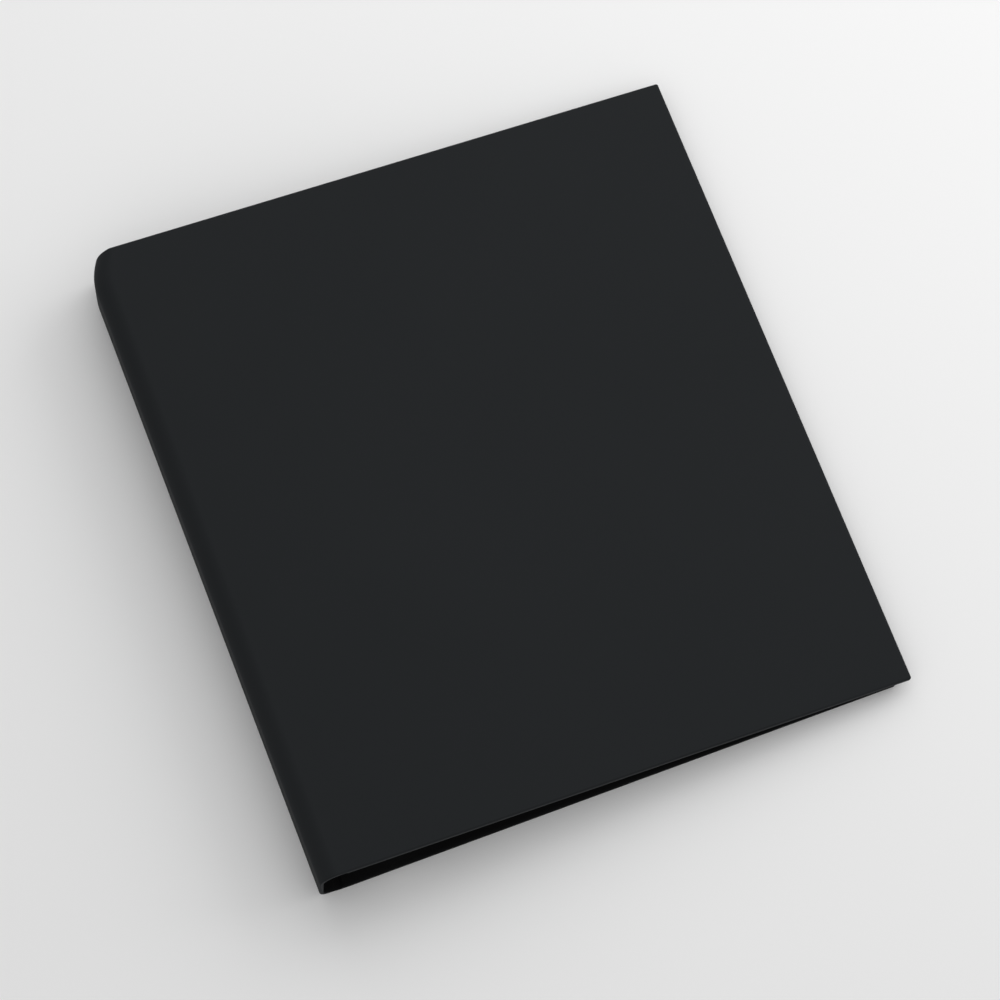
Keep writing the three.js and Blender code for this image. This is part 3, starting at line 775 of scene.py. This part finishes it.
def metal_material(name, dark, light, roughness_low, roughness_high, stretch):
    """Plated or bare steel: its roughness and colour drift a little, drawn out along the strip"""
    made, shader = new_material(name, light, roughness_low)
    shader.inputs["Metallic"].default_value = 1.0
    tree = made.node_tree
    place = add_node(tree, "ShaderNodeTexCoord")
    pull = add_node(tree, "ShaderNodeMapping", {"Scale": stretch})
    grain = add_grain(
        tree, {"Grain Scale": METAL_GRAIN, "Cell Share": 0.0, "Drift Scale": METAL_DRIFT})
    rough = add_node(
        tree, "ShaderNodeMapRange", {"To Min": roughness_low, "To Max": roughness_high})
    drifting_tone(made, grain, shader, dark, light)
    join(tree, (place, "Object", pull, "Vector"), (pull, "Vector", grain, "Place"),
         (grain, "Height", rough, "Value"), (rough, "Result", shader, "Roughness"))
    return made


def extruded(name, points, low, high, place):
    """A closed outline of (a, b) points carried from low to high; place(a, b, c) gives the point"""
    work = bmesh.new()
    ends = [[work.verts.new(place(a, b, c)) for a, b in points] for c in (low, high)]
    work.faces.new(ends[0])
    work.faces.new(ends[1][::-1])
    for i in range(len(points)):
        j = (i + 1) % len(points)
        work.faces.new((ends[0][i], ends[1][i], ends[1][j], ends[0][j]))
    return link(name, closed_mesh(name, work))


def evaluated_copy(made, name, angle):
    """The mesh that an object's modifiers make, as a plain smooth object"""
    bpy.context.view_layer.update()
    evaluated = made.evaluated_get(bpy.context.evaluated_depsgraph_get())
    mesh = bpy.data.meshes.new_from_object(evaluated)
    bpy.data.objects.remove(made)
    mesh.name = name
    return link(name, finish_mesh(mesh, angle))


def cut_and_bevel(blank, cutters, bevel, segments, angle=SHARP_ANGLE):
    """Takes the cutters out of the blank, rounds its sharp edges and bakes the result"""
    for cutter in cutters:
        modifier = blank.modifiers.new("cut", "BOOLEAN")
        modifier.operation = "DIFFERENCE"
        modifier.solver = "EXACT"
        modifier.object = cutter
    rounding = blank.modifiers.new("rounding", "BEVEL")
    rounding.width = bevel
    rounding.segments = segments
    rounding.limit_method = "ANGLE"
    rounding.angle_limit = math.radians(angle)
    made = evaluated_copy(blank, blank.name, angle)
    for cutter in cutters:
        bpy.data.objects.remove(cutter)
    return made


def round_hole(x, y, radius, sides):
    angles = [math.radians(360.0 * i / sides) for i in range(sides)]
    return [(x + radius * math.cos(angle), y + radius * math.sin(angle)) for angle in angles]


def arch(width, rise):
    angles = [math.pi * i / ARCH_STEPS for i in range(ARCH_STEPS + 1)]
    return [(width * math.cos(angle), HOUSING_SIDE + rise * math.sin(angle)) for angle in angles]


def along_housing(a, b, c):
    """A place in the housing's section, carried along it"""
    return (ring_line + a, c, housing_base + b)


def down_housing(a, b, c):
    """A place on the housing seen from above, carried down through it"""
    return (ring_line + a, b, housing_base + c)


nickel_material = metal_material(
    "nickel_plate", NICKEL_DARK, NICKEL_LIGHT, roughness_low=0.16, roughness_high=0.30,
    stretch=(1.0, 0.2, 1.0))

inner_half = housing_half - HOUSING_STEEL
lip_end = inner_half - HOUSING_LIP
housing_outline = [
    (lip_end, 0.0), (housing_half, 0.0), *arch(housing_half, HOUSING_CROWN - HOUSING_SIDE),
    (-housing_half, 0.0), (-lip_end, 0.0), (-lip_end, HOUSING_STEEL), (-inner_half, HOUSING_STEEL),
    *arch(inner_half, HOUSING_CROWN - HOUSING_SIDE - HOUSING_STEEL)[::-1],
    (inner_half, HOUSING_STEEL), (lip_end, HOUSING_STEEL)]
housing_blank = extruded(
    "housing_plate", housing_outline, -housing_end, housing_end, along_housing)
above_housing = HOUSING_CROWN + MM
housing_cutters = []
for y in (-RING_SPACING, 0.0, RING_SPACING):
    for side in (-1, 1):
        middle = side * (SLOT_INSIDE + SLOT_OUTSIDE) / 2
        reach = (SLOT_OUTSIDE - SLOT_INSIDE) / 2
        slot = [(middle + px, y + py) for px, py in rounded_loop(
            -reach, reach, SLOT_HALF, SLOT_CORNER, SLOT_CORNER_STEPS)]
        housing_cutters.append(
            extruded("slot_cutter", slot, HOUSING_SIDE, above_housing, down_housing))
for side in (-1, 1):
    low, high = sorted((side * (housing_end - EAR_LENGTH), side * (housing_end + MM)))
    room = housing_half - EAR_WIDTH
    opening = [(-room, low), (room, low), (room, high), (-room, high)]
    housing_cutters.append(
        extruded("end_cutter", opening, 2 * HOUSING_STEEL, above_housing, down_housing))
    hole = round_hole(0.0, side * RIVET_LINE, RIVET_HOLE, RIVET_HOLE_SIDES)
    housing_cutters.append(
        extruded("hole_cutter", hole, HOUSING_SIDE, above_housing, down_housing))
housing_plate = cut_and_bevel(housing_blank, housing_cutters, HOUSING_BEVEL, segments=2)
housing_plate.data.materials.append(nickel_material)
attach(housing_plate, "back_cover")
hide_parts("ring_housing")
dress_nodes(nickel_material, "ring_housing")


# The blades are two strips of bare steel under the housing, which snap over centre and carry the
# wires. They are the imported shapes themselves.
STEEL_DARK = (0.42, 0.42, 0.41, 1.0)
STEEL_LIGHT = (0.52, 0.52, 0.51, 1.0)

steel_material = metal_material(
    "bare_steel", STEEL_DARK, STEEL_LIGHT, roughness_low=0.30, roughness_high=0.45,
    stretch=(1.0, 0.12, 1.0))
dress_nodes(steel_material, "blade_spine_side", "blade_page_side")


# The rings are round nickel-plated wire, each half bent from the blade up into half a circle.
# The three halves of a side are one wire shape repeated along the mechanism.
RING_RADIUS = 9.4 * MM
WIRE_RADIUS = 1.4 * MM
RING_TIP_GAP = 0.3 * MM
RING_FOOT_OFFSET = 6.0 * MM
RING_FOOT_HEIGHT = 2.35 * MM
RING_FOOT_SHARE = 0.1
RING_FOOT_PULL = 0.5
RING_FOOT_STEPS = 13
RING_BEND = math.radians(-38.0)
RING_STEPS = 44
RING_ROWS = ("tail", "middle", "head")
RING_SHARP_ANGLE = 50.0
WIRE_SIDES = 20

ring_centre = joint_place["page_1_turn"]


def half_ring_path(side):
    """The middle line of a half ring at y = 0, from its foot on the blade to its tip"""
    rise = ring_centre.z - housing_base
    first, last = RING_BEND, math.pi / 2 - math.asin(RING_TIP_GAP / 2 / RING_RADIUS)
    arc = [
        np.array((RING_RADIUS * math.cos(angle), rise + RING_RADIUS * math.sin(angle)))
        for angle in np.linspace(first, last, RING_STEPS)]
    foot = np.array((RING_FOOT_OFFSET, RING_FOOT_HEIGHT + WIRE_RADIUS * RING_FOOT_SHARE))
    reach = (arc[0][1] - foot[1]) * RING_FOOT_PULL
    controls = (foot, foot + (0, reach),
                arc[0] + (reach * math.sin(first), -reach * math.cos(first)), arc[0])
    points = []
    for t in np.linspace(0, 1, RING_FOOT_STEPS):
        weights = ((1 - t) ** 3, 3 * t * (1 - t) ** 2, 3 * t * t * (1 - t), t ** 3)
        points.append(sum(w * c for w, c in zip(weights, controls)))
    points += arc[1:]
    return [(ring_line + side * p[0], 0.0, housing_base + p[1]) for p in points]


def wire_row_tree():
    """Runs a wire along the path and repeats it in a row, whose first is one spacing back"""
    tree = bpy.data.node_groups.new("wire_row", "GeometryNodeTree")
    for name, kind in (
            ("Geometry", "Geometry"), ("Wire Radius", "Float"), ("Spacing", "Float"),
            ("Count", "Int"), ("Sides", "Int"), ("Material", "Material")):
        tree.interface.new_socket(name=name, in_out="INPUT", socket_type="NodeSocket" + kind)
    tree.interface.new_socket(name="Geometry", in_out="OUTPUT", socket_type="NodeSocketGeometry")
    inside, outside = add_node(tree, "NodeGroupInput"), add_node(tree, "NodeGroupOutput")
    path = add_node(tree, "GeometryNodeMeshToCurve")
    section = add_node(tree, "GeometryNodeCurvePrimitiveCircle")
    wire = add_node(tree, "GeometryNodeCurveToMesh", {"Fill Caps": True})
    step = add_node(tree, "ShaderNodeCombineXYZ")
    one_back = add_node(tree, "ShaderNodeVectorMath")
    one_back.operation = "SCALE"
    one_back.inputs["Scale"].default_value = -1.0
    row = add_node(tree, "GeometryNodeMeshLine")
    spread = add_node(tree, "GeometryNodeInstanceOnPoints")
    realize = add_node(tree, "GeometryNodeRealizeInstances")
    paint = add_node(tree, "GeometryNodeSetMaterial")
    join(tree,
         (inside, "Geometry", path, "Mesh"), (inside, "Wire Radius", section, "Radius"),
         (inside, "Sides", section, "Resolution"), (path, "Curve", wire, "Curve"),
         (section, "Curve", wire, "Profile Curve"), (inside, "Spacing", step, "Y"),
         (step, "Vector", one_back, "Vector"), (one_back, "Vector", row, "Start Location"),
         (step, "Vector", row, "Offset"), (inside, "Count", row, "Count"),
         (row, "Mesh", spread, "Points"), (wire, "Mesh", spread, "Instance"),
         (spread, "Instances", realize, "Geometry"), (realize, "Geometry", paint, "Geometry"),
         (inside, "Material", paint, "Material"), (paint, "Geometry", outside, "Geometry"))
    return tree


def baked_row(name, path_points, tree, values, angle):
    """Runs a row tree on a path and returns the mesh it makes as a plain object"""
    mesh = bpy.data.meshes.new(name + "_path")
    mesh.from_pydata(path_points, [(i, i + 1) for i in range(len(path_points) - 1)], [])
    source = link(name + "_path", mesh)
    modifier = source.modifiers.new("row", "NODES")
    modifier.node_group = tree
    for item in tree.interface.items_tree:
        if item.item_type == "SOCKET" and item.in_out == "INPUT" and item.name in values:
            modifier[item.identifier] = values[item.name]
    return evaluated_copy(source, name, angle)


wire_row = wire_row_tree()
wire_sizes = {
    "Wire Radius": WIRE_RADIUS, "Spacing": RING_SPACING, "Count": len(RING_ROWS),
    "Sides": WIRE_SIDES, "Material": nickel_material}
for side, label in ((-1, "spine_side"), (1, "page_side")):
    rings = baked_row(
        "rings_" + label, half_ring_path(side), wire_row, wire_sizes, RING_SHARP_ANGLE)
    half_rings = [f"half_ring_{row}_{label}" for row in RING_ROWS]
    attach(rings, label + "_rings")
    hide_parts(*half_rings)
    dress_nodes(nickel_material, *half_rings)


# Each opening lever is a strip of nickel-plated steel on a pin between the housing's ears. Its
# short tongue lies over the blades, and its tab stands up with a curled, rounded end to press on.
LEVER_HALF = 7.0 * MM
LEVER_TONGUE = 3.2 * MM
LEVER_STEEL = 1.1 * MM
LEVER_TAB = 14.0 * MM
LEVER_CURL = 3.0 * MM
LEVER_BEND = 1.3 * MM
LEVER_BEND_ROUNDS = 3
LEVER_CUT_SHARE = 0.25
LEVER_END_HOLD = 0.01 * MM
LEVER_TAB_ANGLE = math.radians(74.0)
LEVER_CURL_ANGLE = math.radians(49.0)
LEVER_TIP_RADIUS = 4.0 * MM
LEVER_TIP_LEAST_SQUARE = 1e-12
LEVER_BEVEL = 0.2 * MM
LEVER_SHARP_ANGLE = 42.0
LEVER_PIN_RADIUS = 1.5 * MM
LEVER_PIN_HALF = 10.1 * MM
LEVER_PIN_SIDES = 28


def smooth_path(points, rounds):
    """Cuts the path's corners in rounds, and keeps its two ends"""
    points = [np.array(p, float) for p in points]
    near, far = 1 - LEVER_CUT_SHARE, LEVER_CUT_SHARE
    for _ in range(rounds):
        rounded = [points[0]]
        for one, two in zip(points, points[1:]):
            rounded += [one * near + two * far, one * far + two * near]
        points = rounded + [points[-1]]
    return np.array(points)


def lever_mesh(name, pin, end):
    """The lever on its pin; end is 1 at the head and -1 at the tail"""
    up = np.array((math.cos(LEVER_TAB_ANGLE), math.sin(LEVER_TAB_ANGLE)))
    curl = np.array((math.cos(LEVER_CURL_ANGLE), math.sin(LEVER_CURL_ANGLE)))
    elbow = up * (LEVER_TAB - LEVER_CURL)
    path = smooth_path([
        (-LEVER_TONGUE, 0.0), (-LEVER_BEND, 0.0), (0.0, 0.0), up * LEVER_BEND,
        elbow - up * LEVER_BEND, elbow, elbow + curl * LEVER_BEND,
        elbow + curl * (LEVER_CURL - LEVER_END_HOLD), elbow + curl * LEVER_CURL],
        LEVER_BEND_ROUNDS)
    ahead = np.gradient(path, axis=0)
    ahead /= np.linalg.norm(ahead, axis=1)[:, None]
    side = np.stack([-ahead[:, 1], ahead[:, 0]], 1)
    lengths = np.concatenate([
        [0.0], np.cumsum(np.linalg.norm(np.diff(path, axis=0), axis=1))])
    to_tip = np.clip(lengths[-1] - lengths, 0, LEVER_TIP_RADIUS)
    half = LEVER_HALF - LEVER_TIP_RADIUS + np.sqrt(np.maximum(
        LEVER_TIP_RADIUS ** 2 - (LEVER_TIP_RADIUS - to_tip) ** 2, LEVER_TIP_LEAST_SQUARE))
    work = bmesh.new()
    rows = []
    for i, middle in enumerate(path):
        row = []
        for offset in (-0.5, 0.5):
            for x in (-half[i], half[i]):
                y, z = middle + side[i] * offset * LEVER_STEEL
                row.append(work.verts.new((pin.x + x, pin.y + end * y, pin.z + z)))
        rows.append([row[0], row[1], row[3], row[2]])
    work.faces.new(rows[0])
    work.faces.new(rows[-1][::-1])
    for one, two in zip(rows, rows[1:]):
        for i in range(4):
            j = (i + 1) % 4
            work.faces.new((one[i], two[i], two[j], one[j]))
    bmesh.ops.create_cone(
        work, cap_ends=True, segments=LEVER_PIN_SIDES, radius1=LEVER_PIN_RADIUS,
        radius2=LEVER_PIN_RADIUS, depth=2 * LEVER_PIN_HALF,
        matrix=Matrix.Translation(pin) @ Matrix.Rotation(math.pi / 2, 4, "Y"))
    return link(name, closed_mesh(name, work))


for end, label in ((-1, "tail"), (1, "head")):
    lever = cut_and_bevel(
        lever_mesh(f"lever_plate_{label}", joint_place[f"{label}_lever_press"], end),
        [], LEVER_BEVEL, segments=2, angle=LEVER_SHARP_ANGLE)
    lever.data.materials.append(nickel_material)
    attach(lever, f"{label}_lever")
    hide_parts(f"lever_{label}")
    dress_nodes(nickel_material, f"lever_{label}")


# Two nickel rivets fasten the mechanism to the back board. Their domed heads stand on the housing
# and their flat feet are sunk in the board under the cloth.
RIVET_SHANK = 2.0 * MM
RIVET_HEAD = 3.2 * MM
RIVET_FOOT = 4.5 * MM
RIVET_FOOT_HEIGHT = 0.6 * MM
RIVET_FOOT_CHAMFER = 0.15 * MM
RIVET_DOME = 0.6 * MM
RIVET_DOME_STEPS = 8
RIVET_SIDES = 36

rivet_low, rivet_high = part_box("rivet_tail")


def rivet_section():
    """(radius, height) from the middle of the foot to the top of the dome"""
    foot_top = rivet_low.z + RIVET_FOOT_HEIGHT
    head = rivet_high.z - RIVET_DOME
    angles = [math.pi / 2 * i / RIVET_DOME_STEPS for i in range(1, RIVET_DOME_STEPS)]
    return [
        (0.0, rivet_low.z), (RIVET_FOOT - RIVET_FOOT_CHAMFER, rivet_low.z),
        (RIVET_FOOT, rivet_low.z + RIVET_FOOT_CHAMFER), (RIVET_FOOT, foot_top),
        (RIVET_SHANK, foot_top), (RIVET_SHANK, head), (RIVET_HEAD, head),
        *((RIVET_HEAD * math.cos(angle), head + RIVET_DOME * math.sin(angle))
          for angle in angles),
        (0.0, rivet_high.z)]


def lathed(name, section, x, y_places, sides):
    """Turns a section from axis to axis about an upright line at x and each y"""
    turns = [2 * math.pi * i / sides for i in range(sides)]
    work = bmesh.new()
    for y in y_places:
        rings = []
        for radius, z in section:
            around = [(x + radius * math.cos(turn), y + radius * math.sin(turn), z)
                      for turn in turns] if radius else [(x, y, z)]
            rings.append([work.verts.new(place) for place in around])
        for one, two in zip(rings, rings[1:]):
            for i in range(sides):
                j = (i + 1) % sides
                corners = [one[i % len(one)], one[j % len(one)],
                           two[j % len(two)], two[i % len(two)]]
                work.faces.new(list(dict.fromkeys(corners)))
    return link(name, finish_mesh(closed_mesh(name, work)))


rivets = lathed("rivets", rivet_section(), ring_line, (-RIVET_LINE, RIVET_LINE), RIVET_SIDES)
rivets.data.materials.append(nickel_material)
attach(rivets, "back_cover")
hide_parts("rivet_tail", "rivet_head")
dress_nodes(nickel_material, "rivet_tail", "rivet_head")


# Each page is a clear pocket of two films welded along three sides and along the punched strip.
# It lies on the rings with a black card inside, and the pages slope down to the fore edge together.
PAGE_CORNER = 2.5 * MM
PAGE_CORNER_STEPS = 6
PAGE_FILM = 0.1 * MM
PAGE_STRIP = 18.0 * MM
PAGE_WELD = 1.5 * MM
PAGE_HOLE = 4.0 * MM
PAGE_HOLE_SIDES = 30
PAGE_BINDING_EDGE = 7.0 * MM
PAGE_BEVEL = 0.03 * MM
PAGE_SHARP_ANGLE = 60.0
CARD_CORNER = 1.0 * MM
CARD_CORNER_STEPS = 4
CARD_BEVEL = 0.05 * MM
NEAR_EDGE = 0.1 * MM
FILM_TINT = (0.55, 0.58, 0.60, 1.0)
FILM_ROUGHNESS = 0.18
FILM_IOR = 1.49
FILM_VEIL = 0.16
WELD_VEIL = 0.34
RIPPLE_SCALE = 35.0
RIPPLE_DETAIL = 2.0
RIPPLE_STRENGTH = 0.25
RIPPLE_DEPTH = 0.6 * MM
CARD_DARK = (0.0060, 0.0060, 0.0062, 1.0)
CARD_LIGHT = (0.0095, 0.0095, 0.0098, 1.0)


def film_material():
    """Clear film, a little cloudier where it is welded"""
    made, shader = new_material("clear_film", FILM_TINT, FILM_ROUGHNESS)
    shader.inputs["IOR"].default_value = FILM_IOR
    tree = made.node_tree
    weld = add_node(tree, "ShaderNodeAttribute")
    weld.attribute_name = "weld"
    place = add_node(tree, "ShaderNodeTexCoord")
    ripple = add_node(tree, "ShaderNodeTexNoise", {"Scale": RIPPLE_SCALE, "Detail": RIPPLE_DETAIL})
    veil = add_node(tree, "ShaderNodeMapRange", {"To Min": FILM_VEIL, "To Max": WELD_VEIL})
    relief = add_node(
        tree, "ShaderNodeBump", {"Strength": RIPPLE_STRENGTH, "Distance": RIPPLE_DEPTH})
    join(tree,
         (weld, "Fac", veil, "Value"), (veil, "Result", shader, "Alpha"),
         (place, "Object", ripple, "Vector"), (ripple, "Fac", relief, "Height"),
         (relief, "Normal", shader, "Normal"))
    return made


def spots_of(made):
    return np.array([vertex.co for vertex in made.data.vertices])


def height_at(spots, x):
    """The top of a packed card at one of its edges"""
    return spots[np.abs(spots[:, 0] - x) < NEAR_EDGE][:, 2].max()


card_low, card_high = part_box("page_1_card")
card_spots = spots_of(frame["nodes"]["page_1_card"])
page_slope = math.atan2(
    height_at(card_spots, card_low.x) - height_at(card_spots, card_high.x),
    card_high.x - card_low.x)


def to_page(spots):
    """Places seen along the slope of the pages, from the rings' centre line"""
    cos, sin = math.cos(page_slope), math.sin(page_slope)
    x, z = spots[:, 0] - ring_centre.x, spots[:, 2] - ring_centre.z
    return np.stack([x * cos - z * sin, spots[:, 1], x * sin + z * cos], 1)


def from_page(x, y, z):
    cos, sin = math.cos(page_slope), math.sin(page_slope)
    return (ring_centre.x + x * cos + z * sin, y, ring_centre.z - x * sin + z * cos)


def page_sheet(name, packed, corner, steps):
    """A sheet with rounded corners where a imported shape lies, and the ends of that shape"""
    spots = to_page(spots_of(frame["nodes"][packed]))
    low, high = spots.min(0), spots.max(0)
    ends = rounded_loop(low[0], high[0], (high[1] - low[1]) / 2, corner, steps)
    return extruded(name, ends, low[2], high[2], from_page), low, high


film = film_material()
card_material = sheet_material(
    "black_card", CARD_DARK, CARD_LIGHT, roughness=0.85, grain_scale=1500.0,
    cell_share=0.05, bump=0.3)
for number in (1, 2, 3):
    packed = f"page_{number}_pocket"
    pocket_blank, (x_low, y_low, z_low), (x_high, y_high, z_high) = page_sheet(
        f"page_{number}_film", packed, PAGE_CORNER, PAGE_CORNER_STEPS)
    strip_end = x_low + PAGE_STRIP
    page_half = (y_high - y_low) / 2
    room = [(strip_end, -page_half + PAGE_WELD), (x_high - PAGE_WELD, -page_half + PAGE_WELD),
            (x_high - PAGE_WELD, page_half + PAGE_WELD), (strip_end, page_half + PAGE_WELD)]
    page_cutters = [
        extruded("room_cutter", room, z_low + PAGE_FILM, z_high - PAGE_FILM, from_page)]
    for y in (-RING_SPACING, 0.0, RING_SPACING):
        hole = round_hole(x_low + PAGE_BINDING_EDGE, y, PAGE_HOLE, PAGE_HOLE_SIDES)
        page_cutters.append(extruded("hole_cutter", hole, z_low - MM, z_high + MM, from_page))
    pocket = cut_and_bevel(
        pocket_blank, page_cutters, PAGE_BEVEL, segments=1, angle=PAGE_SHARP_ANGLE)
    welded = to_page(spots_of(pocket))[:, 0] < strip_end + NEAR_EDGE
    weld = pocket.data.attributes.new("weld", "FLOAT", "POINT")
    weld.data.foreach_set("value", welded.astype(float))
    pocket.data.materials.append(film)
    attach(pocket, f"page_{number}")
    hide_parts(packed)
    dress_nodes(film, packed)

    packed = f"page_{number}_card"
    card_blank, _, _ = page_sheet(
        f"page_{number}_insert", packed, CARD_CORNER, CARD_CORNER_STEPS)
    insert = cut_and_bevel(card_blank, [], CARD_BEVEL, segments=2, angle=PAGE_SHARP_ANGLE)
    insert.data.materials.append(card_material)
    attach(insert, f"page_{number}")
    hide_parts(packed)
    dress_nodes(card_material, packed)
